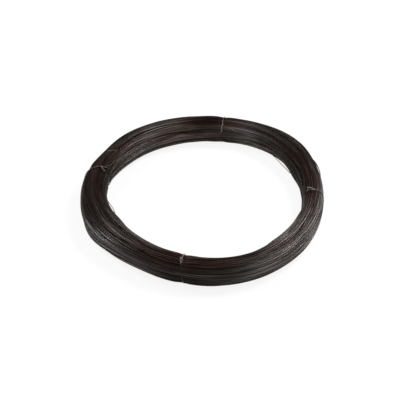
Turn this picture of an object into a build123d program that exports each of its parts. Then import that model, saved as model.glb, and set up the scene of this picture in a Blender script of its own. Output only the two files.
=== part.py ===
from build123d import *
from math import cos, pi, radians, sin
import os

# A coil of black annealed wire, lying flat, in millimetres.
# The origin is the centre of its underside, and +Z runs up along its axis.

# the bundle of turns, as it came off the winding drum: its section is a rectangle with
# round shoulders between a flat land against the drum and flat lands on the two ends
bore_diameter = 363.0
section_width = 43.5
coil_height = 52.0
bore_land = 13.0
end_land = 4.5

# the wire, and the bunches that its turns lie in on the outer upper, inner upper,
# inner lower and outer lower shoulder
wire_diameter = 1.2
bunch_widths = [10.0, 10.0, 15.0, 10.0]
bunch_unevenness = 0.2
valley_depth = 1.8
valley_width = 3.4

# the waist that each tie pulls into the bundle
tie_angles = {"rear": 80.0, "left": 167.0, "front": 259.5, "right": 355.0}
pinch_depth = 2.6
pinch_width = 16.0
neck_width = 2.4
flare_margin = 0.9

# the ties, of the same wire, each pulled tight and closed by twisting its two ends; the
# crossing angle is where on the section that is, 90 on top and 180 in the bore
tie_clearance = 0.25
bends_per_shoulder = 3
wire_chamfer = 0.36
wire_sides = 6
knot_sides = 8
crossing_angles = {"rear": 112.5, "left": 90.0, "front": 108.0, "right": 126.0}
lean_angles = {"rear": 22.0, "left": 32.0, "front": -20.0, "right": 152.0}
rise_angle = 17.0
twist_length = 9.0
twist_pitch = 4.8
bends_per_twist = 8
strand_gap = 0.1

# the two free ends of the coil's own wire, one beside the rear tie and one at the upper left:
# where each leaves the bundle round the coil and on the section, and which way it runs
end_angles = {"outer": (69.0, 138.0, 1), "inner": (152.5, 84.0, -1)}
end_length = 15.0
end_lift = 1.6
end_slant = 24.0

wire_radius = wire_diameter / 2
strand_offset = (wire_diameter + strand_gap) / 2
mean_radius = (bore_diameter + section_width) / 2
middle_height = coil_height / 2
shoulder_width = (section_width - end_land) / 2
shoulder_height = (coil_height - bore_land) / 2

os.makedirs("parts", exist_ok=True)


def on_section(angle, inset):
    """A point of the section's round shoulders as (radius, height), drawn in by inset.

    The angle is 0 at the outside and 90 on top, and each quarter turn is one shoulder, so at
    a multiple of 90 the last or next land begins; shoulder picks which.
    """
    return on_shoulder(int(angle // 90) % 4, angle % 90, inset)


def on_shoulder(shoulder, turn, inset):
    """The point that lies turn degrees round shoulder 0 to 3, counted from the outer upper one."""
    angle = radians(90 * shoulder + turn)
    across = 1 if shoulder in (0, 3) else -1
    up = 1 if shoulder in (0, 1) else -1
    return (mean_radius + across * end_land / 2 + (shoulder_width - inset) * cos(angle),
            middle_height + up * bore_land / 2 + (shoulder_height - inset) * sin(angle))


def even_outline(inset):
    """The outline with each shoulder bent in equal steps, for what hugs the bundle."""
    return [on_shoulder(shoulder, 90 * bend / bends_per_shoulder, inset)
            for shoulder in range(4) for bend in range(bends_per_shoulder + 1)]


def bunched_outline():
    """The outline with a valley at each side of every bunch of turns, the bunches a little uneven."""
    shoulder_length = (shoulder_width + shoulder_height) * pi / 4
    edge = 90 * valley_width / 2 / shoulder_length
    points = []
    for shoulder, bunch_width in enumerate(bunch_widths):
        count = round(shoulder_length / bunch_width)
        shares = [1 + bunch_unevenness * sin(2.4 * (3 * shoulder + n)) for n in range(count)]
        points.append(on_shoulder(shoulder, 0, 0))
        turn = edge
        for share in shares:
            width = (90 - 2 * edge) * share / sum(shares)
            points.append(on_shoulder(shoulder, turn, valley_depth))
            points.append(on_shoulder(shoulder, turn + edge, 0))
            points.append(on_shoulder(shoulder, turn + width - edge, 0))
            turn += width
        points.append(on_shoulder(shoulder, turn, valley_depth))
        points.append(on_shoulder(shoulder, 90, 0))
    return points


def section_plane(angle):
    """The upright plane through the coil's axis that cuts its section at this angle round the coil."""
    return Plane.XZ.rotated((0, 0, angle))


def sweep_wire(bends, frame=Plane.XY):
    """A length of wire along straight runs between bends, as part of the piece being built."""
    with BuildLine(frame):
        run = Polyline(*bends)
    with BuildSketch(Plane(run @ 0, z_dir=run % 0)) as cut_end:
        RegularPolygon(wire_radius, side_count=wire_sides)
    sweep(cut_end.sketch, path=run, transition=Transition.RIGHT)


# what a tie pulls in: a thick collar round the section, around the flared neck that is left
with BuildPart() as pinch:
    with BuildSketch(Plane.XZ.offset(-pinch_width / 2)):
        with Locations((mean_radius, middle_height)):
            Rectangle(section_width + 4 * pinch_depth, coil_height + 4 * pinch_depth)
    extrude(amount=pinch_width)
    for place, inset in [(-pinch_width / 2, -flare_margin), (-neck_width / 2, pinch_depth),
                         (neck_width / 2, pinch_depth), (pinch_width / 2, -flare_margin)]:
        with BuildSketch(Plane.XZ.offset(place)):
            with BuildLine():
                Polyline(*even_outline(inset), close=True)
            make_face()
    loft(ruled=True, mode=Mode.SUBTRACT)

with BuildPart() as coil:
    with BuildSketch(Plane.XZ):
        with BuildLine():
            Polyline(*bunched_outline(), close=True)
        make_face()
    revolve(axis=Axis.Z)
    with Locations([Location((0, 0, 0), (0, 0, angle)) for angle in tie_angles.values()]):
        add(pinch.part, mode=Mode.SUBTRACT)
    for angle, height_angle, way in end_angles.values():
        steps = [(0.0, valley_depth + wire_radius), (0.35, -wire_radius), (1.0, -wire_radius - end_lift)]
        bends = [section_plane(angle + way * share * end_length / mean_radius * 180 / pi).from_local_coords(
            on_section(height_angle - share * end_slant, inset)) for share, inset in steps]
        sweep_wire(bends)
coil.part.label = "coil"
export_step(coil.part, "parts/coil.step")


def tie_round(side):
    """One tie: a loop of wire in the neck of its waist, and its two ends twisted together on top."""
    section = section_plane(tie_angles[side])
    centre_inset = pinch_depth - tie_clearance - wire_radius
    angle = radians(crossing_angles[side])
    outward = section.x_dir * cos(angle) + section.y_dir * sin(angle)
    along = section.y_dir * cos(angle) - section.x_dir * sin(angle)
    lean, rise = radians(lean_angles[side]), radians(rise_angle)
    flat_way = along * cos(lean) + along.cross(outward) * sin(lean)
    crossing = section.from_local_coords(on_section(crossing_angles[side],
                                                     centre_inset - strand_offset - strand_gap))
    twist = Plane(crossing, x_dir=along.cross(outward), z_dir=flat_way * cos(rise) + outward * sin(rise))
    with BuildPart() as tie:
        with BuildSketch(section.offset(-wire_radius)):
            for inset, mode in [(centre_inset - wire_radius, Mode.ADD),
                                (centre_inset + wire_radius, Mode.SUBTRACT)]:
                with BuildLine():
                    Polyline(*even_outline(inset), close=True)
                make_face(mode=mode)
        extrude(amount=wire_diameter)
        chamfer(tie.faces().filter_by(section).edges(), length=wire_chamfer)
        with BuildSketch(twist.offset(-wire_radius)):
            RegularPolygon(2 * strand_offset, side_count=knot_sides)
        extrude(amount=wire_diameter)
        for phase in (0, pi):
            bend_count = round(twist_length / twist_pitch * bends_per_twist)
            helix = [(2 * pi * n / bends_per_twist + phase, twist_pitch * n / bends_per_twist)
                     for n in range(bend_count + 1)]
            sweep_wire([(strand_offset * cos(turn), strand_offset * sin(turn), reach)
                        for turn, reach in helix], frame=twist)
    return tie


for side in tie_angles:
    tie = tie_round(side)
    tie.part.label = f"tie_{side}"
    export_step(tie.part, f"parts/tie_{side}.step")
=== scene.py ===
# %% [markdown]
# # A coil of black annealed wire
# The coil lies flat on a pale studio floor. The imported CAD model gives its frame, in metres. This lesson
# dresses it with the real turns of wire, laid by formula, and with four twisted ties.

# %% The fixed frame
import bpy
import numpy as np
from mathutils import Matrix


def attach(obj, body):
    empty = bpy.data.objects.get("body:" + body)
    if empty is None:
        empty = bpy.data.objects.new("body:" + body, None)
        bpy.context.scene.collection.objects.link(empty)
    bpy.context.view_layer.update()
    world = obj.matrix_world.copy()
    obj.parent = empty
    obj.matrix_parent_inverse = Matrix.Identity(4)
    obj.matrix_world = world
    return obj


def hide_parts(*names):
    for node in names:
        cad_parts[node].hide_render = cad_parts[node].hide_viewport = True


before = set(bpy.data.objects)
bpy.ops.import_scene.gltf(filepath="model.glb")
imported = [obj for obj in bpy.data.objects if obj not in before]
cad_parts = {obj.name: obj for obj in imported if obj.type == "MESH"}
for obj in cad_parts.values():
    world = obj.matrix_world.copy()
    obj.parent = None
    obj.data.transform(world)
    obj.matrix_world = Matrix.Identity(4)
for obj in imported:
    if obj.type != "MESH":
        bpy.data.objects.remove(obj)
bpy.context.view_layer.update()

# %% [markdown]
# ## The ring and its section
# Wire off a drum keeps a nearly round ring, a little three-cornered where it was handled. Its section is
# a soft rectangle, which a superellipse draws with one number. Every later shape is put on this one form:
# an angle round the ring, a share of the way round the section, and a height off the bundle. A ring could
# also be modelled by hand, but then no wire could be laid on it by formula. The waves' numbers were fitted
# to the ring's outline in the photograph.

# %% Ring and section, in millimetres
WIRE = 1.2
RING_RADIUS = 203.25
HALF_WIDTH = 21.75
HALF_HEIGHT = 26.0
SQUARENESS = 2.4
TIE_ANGLES = {"rear": 80.0, "left": 167.0, "front": 259.5, "right": 355.0}
WAIST_DEPTH = 1.5
WAIST_REACH = 9.0


def waves(angle, *terms):
    """One, plus a cosine and a sine wave of the angle for each (count, cosine part, sine part)."""
    return 1 + sum(c * np.cos(n * angle) + s * np.sin(n * angle) for n, c, s in terms)


def ring_radius(angle):
    """The radius of the bundle's middle: a circle with three shallow corners, and slightly oval."""
    return RING_RADIUS * waves(angle, (2, 0.003, -0.004), (3, -0.020, 0.011))


def half_width(angle):
    """Half the bundle's width, wider where the turns have slid apart."""
    return HALF_WIDTH * waves(angle, (1, -0.095, 0.024), (2, 0.039, 0.037))


def waist(angle):
    """One at a tie, falling to nothing along the ring as a bell curve."""
    total = 0
    for tie_angle in TIE_ANGLES.values():
        away = (angle - np.radians(tie_angle) + np.pi) % (2 * np.pi) - np.pi
        total = total + np.exp(-(away * RING_RADIUS / WAIST_REACH) ** 2)
    return total


corner = np.linspace(0, 2 * np.pi, 4001)
outline = [size * np.sign(wave) * np.abs(wave) ** (2 / SQUARENESS)
           for size, wave in ((HALF_WIDTH, np.cos(corner)), (HALF_HEIGHT, np.sin(corner)))]
steps = np.hypot(*np.diff(outline))
GIRTH = steps.sum()
walked = np.append(0, np.cumsum(steps)) / GIRTH


def share(section_angle):
    """The share of the way round the section at an angle in degrees: 0 is outside, 90 is on top and 180 is
    in the bore."""
    return np.interp(np.radians(section_angle), corner, walked)


def patches(angle, way, rows):
    """A sum of bell-shaped patches on the bundle. Each row is degrees round the ring, reach, degrees round
    the section, reach, height."""
    total = 0
    for ring_place, ring_reach, section_place, section_reach, size in rows:
        on_ring = (np.degrees(angle) - ring_place + 180) % 360 - 180
        on_section = ((way - share(section_place % 360) + 0.5) % 1 - 0.5) * 360
        total = total + size * np.exp(-(on_ring / ring_reach) ** 2 - (on_section / section_reach) ** 2)
    return total


print(f"girth of the bundle {GIRTH:.1f} mm, room for {GIRTH / WIRE:.0f} wires side by side")

# %% [markdown]
# ## Bunches that have slid outwards
# Handling pushes some turns out of the ring and lets others sink. A bell-shaped patch, given by its place,
# its reach and its height in mm, is enough for each, and patches simply add up. These rows were corrected
# until the ring's outline agreed with the one measured in the photograph.

# %% Points on the bundle
SLID = [
    (204, 13, 0, 40, 6.4), (338, 24, 0, 45, 2.4), (40, 14, 50, 40, 2.3), (113, 15, 60, 35, 2.3),
    (152, 10, 40, 40, -3.2), (236, 12, -10, 45, -2.6), (22, 9, 205, 35, 2.8), (318, 15, 135, 35, 1.9),
    (209, 12, 140, 35, 2.2), (139, 12, 205, 35, 1.3), (46, 10, 210, 30, -1.8), (165, 6, 190, 40, -1.8),
    (346, 6, 150, 40, -2.2), (207, 9, -28, 30, 3.6), (223, 12, -36, 35, 1.8), (320, 18, -37, 35, 1.6),
    (131, 14, 42, 30, 2.0), (36, 12, 35, 30, 2.0), (160, 9, 20, 30, -1.7), (71, 10, 49, 30, -1.4),
    (309, 12, 140, 30, 2.0), (257, 12, 131, 30, 1.9), (232, 13, 138, 30, 1.4), (213, 8, 148, 30, 1.4),
    (146, 14, 212, 30, 1.7), (80, 8, 229, 30, 1.7), (21, 13, 204, 30, 1.9), (345, 7, 160, 30, -1.7),
]


def on_bundle(angle, way, lift):
    """Points at an angle round the ring and a share of the way round the section, lifted off it in mm.

    The superellipse gives the place and its gradient gives the way out. Nothing goes below the floor.
    """
    turned = np.interp(way % 1, walked, corner)
    across, up = (np.sign(w) * np.abs(w) ** (2 / SQUARENESS) for w in (np.cos(turned), np.sin(turned)))
    width = half_width(angle)
    out_across = np.sign(across) * np.abs(across) ** (SQUARENESS - 1) / width
    out_up = np.sign(up) * np.abs(up) ** (SQUARENESS - 1) / HALF_HEIGHT
    length = np.hypot(out_across, out_up)
    lift = lift - WAIST_DEPTH * waist(angle) + patches(angle, way, SLID)
    radius = ring_radius(angle) + width * across + lift * out_across / length
    height = HALF_HEIGHT * (1 + up) + lift * out_up / length
    height = np.maximum(height, WIRE / 2)
    return np.stack([radius * np.cos(angle), radius * np.sin(angle), height], axis=-1)


print(len(SLID), "slid bunches and hollows")

# %% [markdown]
# ## A mesh from arrays
# Every piece is one or more tubes: rings of points carried along a path. numpy works out all the points
# at once, and the faces are four shifted copies of the same grid of numbers. Each ring also carries the
# finish of its place on the wire, with its painted shade and light, which the materials read as attributes.

# %% From rings of points to a mesh


def wire_mesh(name, tubes, finish, closed=False):
    """One piece from tubes: tube[i, j] is point j of ring i, in mm. Each face joins two rings, and an open
    end gets a cap. `finish` gives each attribute's values, ring by ring, one array for each tube."""
    faces, start = [], 0
    for points in tubes:
        rings, sides = points.shape[:2]
        number = start + np.arange(rings * sides).reshape(rings, sides)
        here, after = (number, np.roll(number, -1, axis=0)) if closed else (number[:-1], number[1:])
        quads = np.stack([here, np.roll(here, -1, axis=1), np.roll(after, -1, axis=1), after], axis=-1)
        faces += quads.reshape(-1, 4).tolist()
        if not closed:
            faces += [number[0, ::-1].tolist(), number[-1].tolist()]
        start += rings * sides
    mesh = bpy.data.meshes.new(name)
    mesh.from_pydata(np.concatenate([points.reshape(-1, 3) for points in tubes]) * 0.001, [], faces)
    mesh.shade_smooth()
    sides = np.concatenate([np.full(len(points), points.shape[1]) for points in tubes])
    for attribute, values in finish.items():
        values = np.repeat(np.concatenate(values), sides)
        mesh.attributes.new(attribute, "FLOAT", "POINT").data.foreach_set("value", values)
    piece = bpy.data.objects.new(name, mesh)
    bpy.context.scene.collection.objects.link(piece)
    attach(piece, "root")
    print(f"{name}: {len(tubes)} tubes, {len(mesh.polygons)} faces")
    return piece


def tube(path, radius, sides, aside):
    """Rings of points round a path. The side ways are worked out from one direction that it never takes."""
    ahead = np.gradient(path, axis=0)
    ahead /= np.linalg.norm(ahead, axis=1, keepdims=True)
    left = np.cross(aside, ahead)
    left /= np.linalg.norm(left, axis=1, keepdims=True)
    up = np.cross(ahead, left)
    round_it = 2 * np.pi * np.arange(sides) / sides
    ring = np.cos(round_it)[:, None] * left[:, None] + np.sin(round_it)[:, None] * up[:, None]
    return path[:, None] + np.reshape(radius, (-1, 1, 1)) * ring


# %% [markdown]
# ## The lay of the turns
# One wire, laid turn by turn, moves over by its own width each time round. All turns of a layer have their
# points at the same angles, so a turn costs the same number of triangles wherever it lies.

# %% Angles where every turn has its points
BESIDE_TIE = np.array([-4.4, -3.2, -2.1, -1.1, 0, 1.1, 2.1, 3.2, 4.4])
CLOSEST = 0.6


def ring_places(step):
    """Angles in radians, `step` degrees apart and closer beside the ties, where the wire bends more. One
    that lies within CLOSEST degrees of the one before is left out."""
    near = [angle + BESIDE_TIE for angle in TIE_ANGLES.values()]
    places = np.unique(np.round(np.concatenate([np.arange(0, 360, step), *near]) % 360, 3))
    return np.radians(places[np.append(True, np.diff(places) > CLOSEST)])


ring_steps, hidden_steps = ring_places(2.4), ring_places(3.6)
print(len(ring_steps), "points to a turn,", len(hidden_steps), "in the layer beneath")

# %% [markdown]
# ## Valleys between bunches
# The turns lie in bunches, with valleys that come and go and let the eye see deeper. A texture could paint
# such lines, but real valleys shade themselves from any side. The drum's valleys lie at about the same
# places as in the CAD section. Finer ones wander, so they come from smooth noise.

# %% Valleys and noise
DRUM_VALLEYS = share(np.array([4, 31, 59, 86, 94, 121, 149, 176, 184, 225, 266, 274, 301, 329, 356]))


def field(angle, way, seed, counts, slips, parts=9):
    """Smooth noise over the bundle, about -2 to 2: a sum of waves. Each has a whole number of crests round
    the section, from `counts`, and slips a whole number of them on the way round, from `slips`."""
    own = np.random.default_rng(seed)
    crests = own.integers(counts[0], counts[1] + 1, parts)
    slipped = own.integers(slips[0], slips[1] + 1, parts)
    phases = own.uniform(0, 2 * np.pi, parts)
    total = sum(np.sin(2 * np.pi * c * way + s * angle + p) for c, s, p in zip(crests, slipped, phases))
    return total * np.sqrt(2 / parts)


def stray(turn, seed, size):
    """A slow wander along the wire, unlike from turn to turn: a sum of waves that never fit the ring."""
    own = np.random.default_rng(seed)
    rates, phases = own.uniform(0.3, 2.9, 6), own.uniform(0, 2 * np.pi, 6)
    return size * sum(np.sin(2 * np.pi * rate * turn + phase) for rate, phase in zip(rates, phases)) / 2.4


print(len(DRUM_VALLEYS), "valleys from the drum")

# %% [markdown]
# ## Crevices drawn one by one
# A few crevices and raised turns catch the eye. Noise would never put them in the right place, so each is
# drawn as a line of its own, at places read off the photograph. Besides the depth, the tone is painted
# darker along a crevice as shade and lighter along a raised line as light.

# %% Drawn lines
LINES = [
    ((193, 198, 204), (52, 48, 44), 0.9, 3.6), ((196, 203, 209), (90, 88, 85), 0.8, 3.2),
    ((206, 214), (92, 92), 0.8, 3.0), ((234, 241, 249, 259), (72, 60, 55, 55), 1.0, 3.6),
    ((237, 244, 252), (74, 76, 70), 0.8, 2.8), ((318, 333, 348, 356), (76, 82, 78, 78), 0.9, 2.7),
    ((-2, 13, 26, 38), (150, 150, 152, 148), 1.1, 3.4), ((18, 25, 31), (105, 105, 108), 0.9, 3.0),
    ((126, 134, 142, 150), (98, 98, 104, 112), 0.9, 3.2),
    ((95, 104, 111, 120, 130), (165, 160, 155, 153, 158), 0.9, 2.6),
    ((58, 66, 74, 82, 88), (200, 192, 189, 194, 192), 0.8, 2.4),
    ((260, 268, 276), (62, 74, 96), 0.8, 2.0), ((205, 214, 226), (30, 26, 22), 0.8, 2.6),
    ((212, 222, 234), (58, 62, 72), 0.8, 2.8), ((216, 228, 238), (100, 104, 96), 0.8, 2.4),
    ((196, 207, 219), (18, 18, 8), 1.3, -1.2), ((200, 207, 215), (8, 5, 1), 0.9, -0.7),
    ((93, 100, 107, 121), (182, 178, 172, 180), 1.6, -1.0),
    ((106, 115, 121, 129), (115, 108, 102, 105), 1.2, -0.7),
    ((142, 152, 163, 172), (148, 158, 160, 155), 0.9, -0.8),
    ((142, 150, 159, 168), (132, 145, 155, 158), 0.9, -0.8),
    ((150, 158, 165), (120, 122, 120), 0.8, -0.6),
]


def drawn(angle, way):
    """Crevices, and raised lines where the size is below zero. Each follows section degrees given at a few
    places round the ring: a bell curve across it, in mm, times a taper at its two ends."""
    total = 0
    for degrees, section_places, width, size in LINES:
        middle, half = (degrees[0] + degrees[-1]) / 2, (degrees[-1] - degrees[0]) / 2
        on_ring = (np.degrees(angle) - middle + 180) % 360 - 180
        line = np.interp(on_ring + middle, degrees, share(np.array(section_places)))
        away = ((way - line + 0.5) % 1 - 0.5) * GIRTH
        taper = np.clip(2.5 * (1 - np.abs(on_ring) / half), 0, 1)
        total = total + size * np.exp(-(away / width) ** 4) * taper
    return total


print(len(LINES), "drawn lines,", sum(size < 0 for *_, size in LINES), "of them raised")

# %% [markdown]
# ## How deep the lay lies
# The valleys, the crevices and the unevenness of single wires add up to one depth, which every layer of
# wire then follows. In some places the real turns lie more evenly, so bunches stand out less there.

# %% Depth of the lay
EVEN = [
    (95, 45, 140, 120, 0.6), (145, 25, 130, 100, 0.45), (322, 30, 30, 110, 0.6),
    (355, 18, 70, 80, 0.25),
]


def relief(angle, way):
    """How strongly bunches and valleys stand out: one, and less in the patches where the turns lie even."""
    return 1 - np.clip(patches(angle, way, EVEN), 0, 0.6)


def sunk(angle, way):
    """How deep the lay lies below the bundle's form, in mm. It adds the drum's valleys, which wander a
    little, finer ones where a noise field passes zero, wires that ride high or low beside their
    neighbours, and the drawn lines. A valley is a bell curve of the distance from its line."""
    wandered = way + 1.3 / GIRTH * field(angle, way, 6, (0, 3), (1, 4), 6)
    away = np.abs((wandered[..., None] - DRUM_VALLEYS + 0.5) % 1 - 0.5).min(axis=-1) * GIRTH
    drum_strength = np.clip(0.6 + 0.5 * field(angle, way, 7, (1, 5), (-3, 3)), 0, 1.2)
    drum = 1.4 * drum_strength * np.exp(-(away / 0.9) ** 2)
    line = field(angle, way, 1, (9, 19), (-6, 6)) / 0.35
    strength = np.clip(0.5 + 0.5 * field(angle, way, 2, (2, 7), (-3, 3)), 0, 1.2)
    fine = 0.85 * strength * np.exp(-line ** 2)
    uneven = 0.45 + 0.4 * field(angle, way, 3, (26, 54), (-9, 9), 16)
    valleys = (drum + fine) * relief(angle, way)
    return (valleys + np.clip(uneven, 0, 1.3)) * (1 - 0.45 * waist(angle)) + drawn(angle, way)


print(f"deepest place of the lay {sunk(*np.meshgrid(ring_steps, np.arange(400) / 400)).max():.1f} mm")

# %% [markdown]
# ## The finish along the lay
# Annealing leaves dark scale, brown scale and faint temper colours in broad patches. They are kept as
# rows of patches too. Their places and sizes were corrected, zone by zone, by comparing how bright and how
# red the render and the photograph are. Most zones came close, and some didn't. The patches of tone are
# therefore partly painted light and shade: brighter in the sectors where the wires catch the lamps' sheen
# and darker in others.

# %% Tone, brown scale and temper colours
# Partly painted light and shade, partly patches of the scale's own tone.
TONE_AND_PAINTED_LIGHT = [
    (325, 30, 60, 110, 0.12), (214, 15, 10, 50, 0.16), (262, 30, 60, 110, -0.12),
    (180, 16, 60, 110, -0.22), (38, 18, 110, 100, -0.22), (40, 11, 98, 26, -0.12),
    (125, 18, 120, 70, 0.14), (72, 9, 110, 50, 0.08), (8, 24, 131, 54, -0.47), (60, 14, 186, 44, 0.26),
    (88, 11, 98, 36, -0.42), (110, 30, 190, 20, 0.34), (107, 25, 66, 22, -0.44),
    (153, 16, 72, 36, -1.0), (188, 24, 118, 60, -0.26), (190, 14, 152, 26, -0.32),
    (162, 10, 162, 26, -0.15), (193, 11, 46, 28, -0.42), (232, 15, -8, 18, 0.42),
    (217, 9, 25, 60, 0.18), (236, 10, 95, 22, 0.16), (279, 25, 58, 24, -0.24), (288, 18, -8, 13, 0.16),
    (264, 14, -36, 15, -0.42), (298, 14, 15, 34, 0.34), (332, 14, 6, 25, 0.16),
    (326, 18, 82, 16, -0.14), (357, 10, 120, 40, -0.20), (208, 7, 56, 18, -0.20),
    (233, 10, 50, 24, -0.16), (288, 9, 110, 20, -0.42), (326, 20, 118, 20, 0.11),
    (350, 10, 80, 22, -0.11), (211, 12, 76, 12, 0.08), (326, 12, 94, 11, -0.10),
    (212, 8, 48, 16, -0.07), (150, 20, 62, 12, -0.35), (198, 9, 83, 9, -0.22),
    (180, 12, 162, 18, -0.16), (159, 9, 155, 18, -0.12), (270, 12, 22, 8, -0.10),
    (98, 20, 208, 18, -0.26),
]
RUST = [
    (20, 16, 111, 38, 0.95), (92, 14, 98, 34, 1.2), (156, 16, 86, 36, 0.95), (178, 18, 112, 40, 0.85),
    (196, 10, 85, 45, 0.5), (258, 20, 66, 26, 0.6), (274, 12, 94, 20, 0.45), (100, 16, 195, 36, 0.4),
    (126, 12, 80, 24, -0.3), (253, 12, 104, 20, 0.8), (355, 16, 98, 28, 0.95), (282, 12, 88, 24, 0.3),
    (240, 8, 72, 14, 0.3), (113, 14, 160, 40, 0.4), (75, 8, 125, 30, 0.3), (214, 18, 8, 40, -0.3),
    (198, 9, 83, 12, -0.35),
]
TEMPER = [
    (276, 20, 25, 34, -0.55), (262, 14, 92, 24, 0.5), (168, 14, 175, 32, -0.6),
    (106, 12, 118, 28, -0.3), (90, 12, 172, 26, 0.2), (180, 14, 104, 26, 0.5), (2, 16, 110, 30, 0.6),
    (212, 14, 56, 24, 0.2), (348, 16, 28, 30, -0.3), (312, 24, 60, 26, 0.15), (138, 14, 108, 30, 0.2),
    (228, 12, 106, 24, 0.35), (270, 10, 78, 16, 0.4), (60, 20, 200, 40, -0.2), (326, 15, 92, 20, -0.35),
    (336, 12, 20, 24, 0.2), (70, 8, 125, 20, 0.4), (77, 4, 142, 22, -0.35), (68, 14, 205, 24, -0.35),
    (92, 10, 102, 20, -0.3),
]
CRISP = [
    (212, 16, 45, 45, -0.5), (317, 18, 112, 34, -0.5), (245, 18, 122, 34, -0.7), (318, 34, 15, 90, 0.2),
    (350, 18, 80, 60, 0.8), (262, 22, 60, 60, -0.5),
]


def crispness(angle, way):
    """How strongly single wires differ from their neighbours: about one, more or less in patches."""
    return 1 + patches(angle, way, CRISP)


def lay_finish_and_painted_light(angle, way):
    """The finish along the lay, as three numbers of about 0 to 1, each from patches and noise fields. `tone`
    runs from dark scale to rubbed grey. It is darkened as painted shade where the lay lies deeper and along
    the crevices, lightened as painted light along the raised lines, and its patches are partly painted light
    and shade too. `rust` runs from blue-black to brown scale, and `temper` from an olive to a purple tinge."""
    coarse = 0.08 * field(angle, way, 4, (3, 11), (-3, 3), 9)
    fine = 0.15 * crispness(angle, way) * field(angle, way, 5, (28, 80), (-12, 12), 20)
    # Painted shade and light: the tone falls with the depth of the lay and along the crevices, and rises
    # along the raised lines.
    tone = (0.59 + patches(angle, way, TONE_AND_PAINTED_LIGHT) + coarse + fine - 0.08 * sunk(angle, way)
            - 0.20 * drawn(angle, way))
    rust = patches(angle, way, RUST) + 0.12 + 0.16 * field(angle, way, 8, (4, 24), (-4, 4), 12)
    temper = 0.5 + patches(angle, way, TEMPER) + 0.17 * field(angle, way, 9, (2, 7), (-4, 4), 10)
    return tone, np.clip(rust, 0, 1), np.clip(temper, 0, 1)


print(len(TONE_AND_PAINTED_LIGHT), "patches of tone,", len(RUST), "of brown scale,", len(TEMPER), "of temper colour")

# %% [markdown]
# ## The outer layers
# Two layers are enough for the eye: the outer one as an upper and a lower half, and one beneath. Each is
# laid as one long tube, like the real wire: its share of the way round the section grows evenly, and a slow
# wander keeps neighbours from being perfectly parallel.

# %% Laying a layer as one wire
OUTER_DEPTH, BENEATH_DEPTH = 0.4, 1.6


def lay_layer(name, turns, first, last, depth, seed, places):
    """The turns from share `first` to share `last` of the section, as one tube that moves over by a turn
    each time round."""
    turn = np.add.outer(np.arange(turns), places / (2 * np.pi)).ravel()
    angle = 2 * np.pi * (turn % 1)
    way = first + (last - first) * turn / turns + stray(turn, seed, 0.22) / GIRTH
    lift = -depth - WIRE / 2 - sunk(angle, way) - np.abs(stray(turn, seed + 1, 0.18))
    points = tube(on_bundle(angle, way, lift), WIRE / 2, 6, (0, 0, 1))
    tone, rust, temper = lay_finish_and_painted_light(angle, way)
    tone = tone + crispness(angle, way) * stray(turn, seed + 2, 0.15)
    piece = wire_mesh(name, [points], {"tone": [tone], "rust": [rust], "temper": [temper]})
    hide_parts("coil")
    return piece


wire_pieces = [
    lay_layer("turns_upper", 62, 0.0, 0.5, OUTER_DEPTH, 11, ring_steps),
    lay_layer("turns_lower", 62, 0.5, 1.0, OUTER_DEPTH, 21, ring_steps),
    lay_layer("turns_beneath", 112, 0.0, 1.0, BENEATH_DEPTH, 31, hidden_steps),
]

# %% [markdown]
# ## The heart of the bundle
# Below two layers of wire nothing more is seen, so one dark closed ring stands for the thousand turns
# inside. Its tone is zero, the darkest of the scale: painted shade, for the turns inside have the same
# scale and are dark only because they lie in shadow. It keeps light from leaking through the gaps.

# %% Heart
HEART_DEPTH = 3.1
heart_angle, heart_way = np.meshgrid(hidden_steps, np.arange(60) / 60, indexing="ij")
heart_points = on_bundle(heart_angle, heart_way, -HEART_DEPTH - sunk(heart_angle, heart_way))[:, ::-1]
# Painted shade: the whole heart gets the darkest tone, zero.
heart_painted_shade = {"tone": [np.zeros(len(hidden_steps))]}
heart = wire_mesh("heart_of_bundle", [heart_points], heart_painted_shade, closed=True)
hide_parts("coil")
wire_pieces.append(heart)

# %% [markdown]
# ## Bunches that ride over the lay
# When a coil is moved, some turns slide over the others as ribbons of wire that start deep, run slantwise
# over their neighbours and dive again. Each is a few wires side by side. Where they lie is seeded chance,
# since the photograph doesn't show which turn is which.

# %% Ribbons of wire
DIVE_DEPTH = 2.6


def ribbon(start, end, way_from, way_to, wires, spread, level, seed):
    """Angles, shares and lifts of a few wires that go from one share of the section to another. They rise
    out of the lay over the first sixth of the way and dive back over the last, by the smooth step
    3x^2 - 2x^3."""
    laps = np.array([[-360], [0], [360]])
    steps = np.radians(np.degrees(ring_steps)[None] + laps).ravel()
    angle = steps[(steps >= np.radians(start)) & (steps <= np.radians(end))]
    along = (angle - angle[0]) / (angle[-1] - angle[0])
    ease = along * along * (3 - 2 * along)
    own = np.random.default_rng(seed)
    phase = own.uniform(0, 2 * np.pi, 3)
    middle = way_from + (way_to - way_from) * ease + 0.006 * np.sin(2 * np.pi * along + phase[0])
    shown = np.clip(np.minimum(along, 1 - along) / 0.16, 0, 1)
    shown = shown * shown * (3 - 2 * shown)
    gap = WIRE * 1.05 * (1 + spread * np.sin(np.pi * along + phase[1] * 0.3) ** 2)
    order = np.arange(wires) - (wires - 1) / 2
    way = middle + order[:, None] * gap / GIRTH
    jitter = np.array([stray(along + 3 * n, seed + n, 0.16) for n in range(wires)])
    angle = np.broadcast_to(angle, way.shape)
    lift = level * shown * relief(angle, way) - DIVE_DEPTH * (1 - shown) - WIRE / 2 - np.abs(jitter)
    lift = lift - 0.4 * sunk(angle, way) - 0.6 * drawn(angle, way)
    return angle, way, lift


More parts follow.
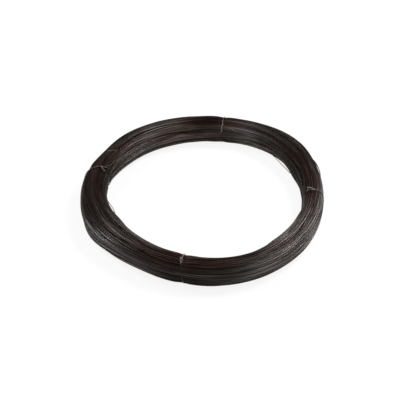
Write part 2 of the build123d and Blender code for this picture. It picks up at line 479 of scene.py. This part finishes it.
def ribbons_mesh(name, rows):
    """All the wires of several ribbons in one mesh, each tube with its own caps."""
    tubes, finish = [], {"tone": [], "rust": [], "temper": []}
    for seed, row in enumerate(rows):
        angle, way, lift = ribbon(*row, seed=100 + 20 * seed)
        for number in range(len(way)):
            tubes.append(tube(on_bundle(angle[number], way[number], lift[number]), WIRE / 2, 6, (0, 0, 1)))
            tone, rust, temper = lay_finish_and_painted_light(angle[number], way[number])
            finish["tone"].append(tone + 0.06 + stray(angle[number] + 5 * number, seed, 0.12))
            finish["rust"].append(rust)
            finish["temper"].append(temper)
    return wire_mesh(name, tubes, finish)


RIBBONS = 46
rows = []
placer = np.random.default_rng(3)
for number in range(RIBBONS):
    start = placer.uniform(0, 360)
    reach = placer.uniform(50, 150)
    way = (number + placer.uniform(-0.4, 0.4)) / RIBBONS
    rows.append((start, start + reach, way, way + placer.uniform(-0.05, 0.05), int(placer.integers(3, 9)),
                 placer.uniform(0, 0.25), placer.uniform(0.0, 0.8)))
bunches = ribbons_mesh("sliding_bunches", rows)
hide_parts("coil")
wire_pieces.append(bunches)

# %% [markdown]
# ## Single wires that stand clear
# Here and there one turn springs away from the others, and the wire's own two ends stick out of the lay.
# Each is a path in the same three numbers: angle round the ring, way round the section, height. Their
# places were read off the photograph.

# %% A smooth path through given points
STRETCH_POINTS = 8


def bend(points):
    """A curve through the rows of `points`: cubic stretches whose slopes are half the way from the point
    before to the point after. The ends lean on points mirrored beyond them."""
    points = np.asarray(points, float)
    padded = np.vstack([2 * points[0] - points[1], points, 2 * points[-1] - points[-2]])
    place = np.linspace(0, len(points) - 1, STRETCH_POINTS * (len(points) - 1) + 1)
    stretch = np.minimum(place.astype(int), len(points) - 2)
    part = (place - stretch)[:, None]
    a, b, c, d = (padded[stretch + n] for n in range(4))
    return b + 0.5 * part * (c - a + part * (2 * a - 5 * b + 4 * c - d + part * (3 * (b - c) + d - a)))


def wire_along(points):
    """A path in space from rows of (degrees round the ring, degrees round the section, lift in mm)."""
    angle, section_angle, lift = bend(points).T
    return on_bundle(np.radians(angle), share(section_angle % 360), lift)


loose_rows = [
    [(0, 47, -2.5), (5, 48, 1.2), (11, 49, 3.9), (17.5, 50, 2.6), (24, 52, -2.5)],
    [(2, 40, -2.5), (8, 41, 1.0), (13, 41, 2.2), (19, 42, 0.2), (24, 42, -2.5)],
    [(24, 216, -2.5), (30, 216, 1.6), (37, 216, 3.6), (44, 216, 1.5), (51, 216, -2.5)],
    [(188, 160, -2.5), (192, 160, 1.2), (197, 161, 3.0), (202, 161, 1.0), (207, 162, -2.5)],
    [(167, 108, -2.5), (165, 114, 0.4), (162, 132, 1.2), (159, 137, 0.9), (155, 139, -0.5),
     (151, 141, -2.5)],
]
end_rows = [
    [(69.8, 160, -2.5), (70.9, 156, -0.4), (72.3, 150, 1.3), (74.0, 144, 1.9), (75.3, 143, 2.0),
     (75.9, 149, 2.0), (75.6, 156, 1.6)],
    [(154.0, 78, -2.5), (153.0, 84, -0.4), (152.0, 92, 1.4), (151.0, 102, 2.0), (150.4, 112, 1.6)],
]
loose_tubes = [tube(wire_along(row), WIRE / 2, 8, (0, 0, 1)) for row in loose_rows + end_rows]
loose_values = {"tone": [0.75] * len(loose_rows) + [0.88] * len(end_rows),
                "rust": [0.2] * len(loose_tubes), "temper": [0.5] * len(loose_tubes)}
loose_finish = {attribute: [np.full(len(rings), value) for rings, value in zip(loose_tubes, values)]
                for attribute, values in loose_values.items()}
loose = wire_mesh("loose_wires", loose_tubes, loose_finish)
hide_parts("coil")
wire_pieces.append(loose)

# %% [markdown]
# ## Ties
# Each tie is one short wire: up from one tail, round the bundle and back to the other tail. Where its ends
# meet, they are twisted together as a double helix and bent over. The whole wire is one path. Two columns
# steer the helix: how far round it has turned, and how far the wire stands off the twist's middle line.

# %% One tie as one wire
TWIST_PITCH = 4.6
TWIST_OFFSET = 0.62
LOOP_LIFT = 0.62
LOOP_POINTS = 24
SECTION_DEGREE = 0.43


def tie_path(azimuth, slant, twist, tails):
    """Points of the wire, its section angle there, and 1 where the pliers held it, 0 in the loop.

    `twist` and `tails` are rows of (mm along the ring, section degrees, lift). The loop is a line round the
    section that leans by `slant` (cosine and sine part, mm along the ring). A degree round the section
    counts as SECTION_DEGREE mm of wire.
    """
    crossing = twist[0][1]
    loop_angle = crossing + np.linspace(20, 340, LOOP_POINTS)
    lean = np.radians(loop_angle)
    loop = np.stack([slant[0] * np.cos(lean) + slant[1] * np.sin(lean), loop_angle,
                     np.full(LOOP_POINTS, LOOP_LIFT)], axis=1)
    twist = np.array(twist, float)
    first = np.vstack([twist, tails[0]])[::-1]
    second = np.vstack([twist, tails[1]]) + [0, 360, 0]
    rows = np.vstack([first, loop, second])
    grip = np.concatenate([[0] * len(tails[0]), [1] * len(twist), [0] * LOOP_POINTS, [1] * len(twist),
                           [0] * len(tails[1])])
    stretches = np.linalg.norm(np.diff(twist * [1, SECTION_DEGREE, 1], axis=0), axis=1)
    reach = np.append(0, np.cumsum(stretches))
    turned = reach / TWIST_PITCH * 2 * np.pi
    handled = np.concatenate([[1] * len(first), [0] * LOOP_POINTS, [1] * len(second)])
    quiet = [turned[-1]] * len(tails[0])
    helix = np.concatenate([quiet, turned[::-1], [0] * LOOP_POINTS, -turned, [-turned[-1]] * len(tails[1])])
    along, section_angle, lift = bend(rows).T
    place = np.linspace(0, len(rows) - 1, len(along))
    grip, helix, handled = (np.interp(place, np.arange(len(rows)), column)
                            for column in (grip, helix, handled))
    spot = np.radians(azimuth) + along / RING_RADIUS, share(section_angle % 360)
    path = on_bundle(*spot, lift)
    ahead = np.gradient(path, axis=0)
    ahead /= np.linalg.norm(ahead, axis=1, keepdims=True)
    outward = on_bundle(*spot, lift + 1) - path
    across = np.cross(outward, ahead)
    across /= np.linalg.norm(across, axis=1, keepdims=True)
    path = path + TWIST_OFFSET * grip[:, None] * (
        np.cos(helix)[:, None] * across + np.sin(helix)[:, None] * np.cross(ahead, across))
    return path, section_angle, handled


def tie_lightness(section_angle, handled, middle, reach, loop_share, twist_share):
    """How light the tie wire is where its scale is rubbed off: one share in the loop and one where the
    pliers held the wire, both falling to zero in the middle of one darker stretch."""
    away = (section_angle - middle + 180) % 360 - 180
    return (loop_share + (twist_share - loop_share) * handled) * (1 - np.exp(-(away / reach) ** 4))


print(f"a twist turns once in {TWIST_PITCH} mm, its strands {TWIST_OFFSET} mm off the middle line")

# %% [markdown]
# ## The four ties
# Their rows follow what the photograph shows of each twist, which is about ten pixels long there.

# %% Four ties
TIES = {
    "rear": ((-1.0, -1.0), [(-1.4, 129, 1.2), (-1.3, 134, 2.2), (-1.1, 140, 2.5), (-0.9, 146, 2.3),
                            (-0.7, 152, 2.0), (-0.5, 158, 1.7)],
             ([(-0.3, 163, 1.3), (-0.2, 167, 1.1)], [(-1.4, 161, 2.6), (-2.6, 159, 3.4)])),
    "left": ((10.0, -2.5), [(-4.4, 97, 1.2), (-3.0, 100, 2.5), (-1.2, 104, 2.9), (0.6, 109, 2.7),
                            (2.4, 114, 2.4), (4.0, 118, 2.0)],
             ([(5.0, 121, 1.6), (6.0, 123, 1.3)], [(4.8, 121, 3.4), (5.2, 124, 4.4)])),
    "front": ((1.0, -2.5), [(-2.6, 62, 1.2), (-3.2, 66, 2.3), (-3.9, 71, 2.6), (-4.6, 76, 2.5),
                            (-5.2, 81, 2.2), (-5.0, 86, 2.0)],
              ([(-3.6, 91, 2.0), (-2.0, 98, 2.0), (-0.6, 106, 1.8), (0.2, 113, 1.6)],
               [(-6.0, 89, 1.4), (-6.8, 92, 1.2)])),
    "right": ((0.5, 0.5), [(0.6, 88, 1.2), (0.9, 92, 2.4), (1.6, 97, 3.2), (2.9, 101, 3.4),
                           (4.0, 105, 3.0), (4.2, 110, 2.4)],
              ([(3.2, 114, 1.8), (1.8, 117, 1.3)], [(5.2, 113, 3.2), (6.2, 115, 4.2)])),
}
DARK_STRETCH = {"rear": (198, 26, 0.42, 0.95), "left": (175, 58, 0.6, 0.9), "front": (22, 34, 0.45, 0.75),
              "right": (158, 20, 0.5, 1.0)}
tie_pieces = []
for side, (slant, twist, tails) in TIES.items():
    path, section_angle, handled = tie_path(TIE_ANGLES[side], slant, twist, tails)
    azimuth = np.radians(TIE_ANGLES[side])
    along_ring = np.array([-np.sin(azimuth), np.cos(azimuth), 0])
    aside = along_ring + 0.35 * np.array([np.cos(azimuth), np.sin(azimuth), 0])
    # Lighter where the scale is rubbed, and darker along one stretch of each tie.
    rubbed = tie_lightness(section_angle, handled, *DARK_STRETCH[side])
    tie = wire_mesh(f"tie_wire_{side}", [tube(path, WIRE / 2, 8, aside)], {"tone": [rubbed]})
    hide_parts(f"tie_{side}")
    tie_pieces.append(tie)
    print(f"tie {side}: {np.linalg.norm(np.diff(path, axis=0), axis=1).sum():.0f} mm of wire")

# %% [markdown]
# ## Shader maths in plain words
# A node graph is easier to read as a sum. The class below holds one socket, and each operator adds its
# Math node, so `1 - rust * 0.5` means what it says.

# %% Sockets with operators


class Flow:
    """One output socket of a material's node tree, with Python's operators."""

    def __init__(self, tree, socket):
        self.tree, self.socket = tree, socket

    def node(self, kind, settings=None, output=0, **inputs):
        """Any node: its type, then its settings, then its input values or links."""
        made = self.tree.nodes.new(kind)
        for key, value in (settings or {}).items():
            if key == "stops":
                ramp = made.color_ramp
                while len(ramp.elements) < len(value):
                    ramp.elements.new(0.5)
                for stop, (place, colour) in zip(ramp.elements, value):
                    stop.position, stop.color = place, (*colour, 1)
            else:
                setattr(made, key, value)
        for key, value in inputs.items():
            by_number = key[0] == "i" and key[1:].isdigit()
            target = made.inputs[int(key[1:]) if by_number else key.replace("_", " ")]
            if isinstance(value, Flow):
                self.tree.links.new(value.socket, target)
            else:
                target.default_value = value
        return Flow(self.tree, made.outputs[output])

    def maths(self, operation, one, two=0.0):
        return self.node("ShaderNodeMath", {"operation": operation}, i0=one, i1=two)

    def __add__(self, other):
        return self.maths("ADD", self, other)

    def __sub__(self, other):
        return self.maths("SUBTRACT", self, other)

    def __rsub__(self, other):
        return self.maths("SUBTRACT", other, self)

    def __mul__(self, other):
        return self.maths("MULTIPLY", self, other)

    __radd__, __rmul__ = __add__, __mul__


def new_material(name):
    """An empty material with an output node, and a flow to start from."""
    material = bpy.data.materials.new(name)
    material.use_nodes = True
    tree = material.node_tree
    tree.nodes.clear()
    output = tree.nodes.new("ShaderNodeOutputMaterial")
    return material, Flow(tree, None), output.inputs["Surface"]


# %% [markdown]
# ## Black annealed wire
# Wire softened in a furnace grows a thin oxide scale, blue-black to brown, with a soft sheen. Where turns
# rub, the scale thins and the steel shows grey. Each turn has its own tone.

# %% Oxide scale
scale_material, start, surface = new_material("black_oxide_scale")
place = start.node("ShaderNodeTexCoord", output=3)
tone = start.node("ShaderNodeAttribute", {"attribute_name": "tone"}, output=2)
patchy = start.node("ShaderNodeTexNoise", Vector=place, Scale=14.0, Detail=2.0)
fleck = start.node("ShaderNodeTexNoise", Vector=place, Scale=420.0, Detail=3.0)
rust = start.node("ShaderNodeAttribute", {"attribute_name": "rust"}, output=2)
shade = tone * 0.9 - rust * 0.12 + (patchy - 0.5) * 0.3 + (fleck - 0.5) * 0.1
grey = start.node("ShaderNodeValToRGB", {"stops": [
    (0.05, (0.0058, 0.0044, 0.0036)), (0.30, (0.0172, 0.0140, 0.0122)), (0.50, (0.038, 0.0328, 0.0305)),
    (0.68, (0.080, 0.0722, 0.0718)), (1.0, (0.24, 0.221, 0.225))]}, Fac=shade)
brown = start.node("ShaderNodeValToRGB", {"stops": [
    (0.05, (0.0066, 0.0023, 0.0011)), (0.30, (0.0215, 0.0089, 0.0051)), (0.50, (0.0465, 0.0231, 0.0150)),
    (0.68, (0.089, 0.0535, 0.0405)), (1.0, (0.22, 0.17, 0.16))]}, Fac=shade)
colour = start.node("ShaderNodeMix", {"data_type": "RGBA"}, output=2, i0=rust, i6=grey, i7=brown)
temper = start.node("ShaderNodeAttribute", {"attribute_name": "temper"}, output=2)
tint = start.node("ShaderNodeMix", {"data_type": "RGBA"}, output=2, i0=temper,
                  i6=(0.95, 1.05, 0.91, 1), i7=(1.06, 0.96, 1.08, 1))
colour = start.node("ShaderNodeVectorMath", {"operation": "MULTIPLY"}, i0=colour, i1=tint)
shader = start.node("ShaderNodeBsdfPrincipled", Base_Color=colour, Metallic=0.65, Specular_IOR_Level=0.2,
                    Specular_Tint=(0.93, 0.85, 0.80, 1), Roughness=0.33 + fleck * 0.1)
start.tree.links.new(shader.socket, surface)
for piece in wire_pieces:
    piece.data.materials.append(scale_material)
print(scale_material.name, "on", len(wire_pieces), "pieces")

# %% [markdown]
# ## Tie wire
# The ties are the same wire, handled and twisted with pliers, so their scale is rubbed brighter.
# One stretch of each tie is left darker.

# %% Rubbed scale
tie_material, start, surface = new_material("rubbed_tie_wire")
place = start.node("ShaderNodeTexCoord", output=3)
rub = start.node("ShaderNodeTexNoise", Vector=place, Scale=260.0, Detail=2.0)
rubbed = start.node("ShaderNodeAttribute", {"attribute_name": "tone"}, output=2)
colour = start.node("ShaderNodeValToRGB", {"stops": [
    (0.15, (0.018, 0.014, 0.012)), (0.35, (0.075, 0.062, 0.056)), (0.60, (0.20, 0.178, 0.166)),
    (0.80, (0.36, 0.33, 0.31))]}, Fac=rub * 0.8 + rubbed * 0.42 - 0.22)
shader = start.node("ShaderNodeBsdfPrincipled", Base_Color=colour, Metallic=0.8, Roughness=0.22 + rub * 0.3)
start.tree.links.new(shader.socket, surface)
for piece in tie_pieces:
    piece.data.materials.append(tie_material)
print(tie_material.name, "on", len(tie_pieces), "pieces")

# %% [markdown]
# ## Studio floor
# To the camera, and mirrored in the wire, the floor glows almost white, and a little diffuse white on top
# of the glow keeps the coil's shadow. To all other rays it is plain matt white.

# %% Floor
FLOOR_REACH = 9


def background_ray(start):
    """One for a ray from the camera or off a shiny or glassy surface, and zero for any other."""
    camera_ray, glossy_ray, clear_ray = (start.node("ShaderNodeLightPath", output=f"Is {kind} Ray")
                                         for kind in ("Camera", "Glossy", "Transmission"))
    return start.maths("MAXIMUM", start.maths("MAXIMUM", camera_ray, glossy_ray), clear_ray)


floor_mesh = bpy.data.meshes.new("floor")
floor_corners = [(x * FLOOR_REACH, y * FLOOR_REACH, 0) for x, y in ((-1, -1), (1, -1), (1, 1), (-1, 1))]
floor_mesh.from_pydata(floor_corners, [], [(0, 1, 2, 3)])
floor = bpy.data.objects.new("floor", floor_mesh)
bpy.context.scene.collection.objects.link(floor)
floor_material, start, surface = new_material("floor_white")
matt = start.node("ShaderNodeBsdfDiffuse", Color=(0.8, 0.8, 0.8, 1))
glow = start.node("ShaderNodeEmission", Color=(1, 1, 1, 1), Strength=0.88)
soft = start.node("ShaderNodeBsdfDiffuse", Color=(0.15, 0.15, 0.15, 1))
bright = start.node("ShaderNodeAddShader", i0=soft, i1=glow)
shader = start.node("ShaderNodeMixShader", i0=background_ray(start), i1=matt, i2=bright)
start.tree.links.new(shader.socket, surface)
floor_mesh.materials.append(floor_material)
print(f"floor {2 * FLOOR_REACH} m across")

# %% [markdown]
# ## Light
# Three square lamps stand in for studio soft boxes. The world is white. The camera sees it at full strength,
# straight or mirrored in the wire, and as diffuse light it is weak, so that the shadows stay.

# %% Light
WORLD_LIGHT = 0.22
COIL_MIDDLE = 0.026
world = bpy.data.worlds.new("studio")
bpy.context.scene.world = world
world.use_nodes = True
sky = world.node_tree.nodes["Background"]
sky.inputs["Color"].default_value = (1, 1, 1, 1)
strength = WORLD_LIGHT + background_ray(Flow(world.node_tree, None)) * (1 - WORLD_LIGHT)
world.node_tree.links.new(strength.socket, sky.inputs["Strength"])


def soft_box(name, place, size, power):
    """A square lamp that faces the middle of the coil."""
    lamp = bpy.data.lights.new(name, "AREA")
    lamp.shape, lamp.size, lamp.energy = "SQUARE", size, power
    holder = bpy.data.objects.new(name, lamp)
    bpy.context.scene.collection.objects.link(holder)
    holder.location = place
    direction = np.array([0, 0, COIL_MIDDLE]) - np.array(place)
    holder.rotation_euler = (np.arctan2(np.hypot(direction[0], direction[1]), -direction[2]), 0,
                             np.arctan2(direction[1], direction[0]) - np.pi / 2)


soft_box("soft_box_right", (1.35, 0.75, 2.0), 0.7, 42)
soft_box("soft_box_left", (-1.4, 0.75, 2.0), 0.7, 20)
soft_box("soft_box_over", (0.0, -0.6, 2.6), 1.6, 6)

# %% [markdown]
# ## Camera
# The angle, distance, focal length and shift are those of the camera fitted to the ring's outline in the
# photograph, which is 400 pixels wide. Shift and focal length are given in those pixels.

# %% Camera
lens = bpy.data.cameras.new("camera")
camera = bpy.data.objects.new("camera", lens)
bpy.context.scene.collection.objects.link(camera)
FRAME_PIXELS, FOCAL_PIXELS, SENSOR = 400, 1087.1, 36
SHIFT_PIXELS = -5.362, -6.03
elevation, distance = np.radians(40.92), 2.0325
camera.location = (0, -distance * np.cos(elevation), COIL_MIDDLE + distance * np.sin(elevation))
camera.rotation_euler = (np.pi / 2 - elevation, 0, 0)
lens.sensor_width = SENSOR
lens.lens = SENSOR * FOCAL_PIXELS / FRAME_PIXELS
lens.shift_x, lens.shift_y = (pixels / FRAME_PIXELS for pixels in SHIFT_PIXELS)
bpy.context.scene.camera = camera
bpy.context.scene.view_settings.view_transform = "Standard"

print(f"camera {distance:.2f} m away, looking down at {np.degrees(elevation):.1f} degrees")
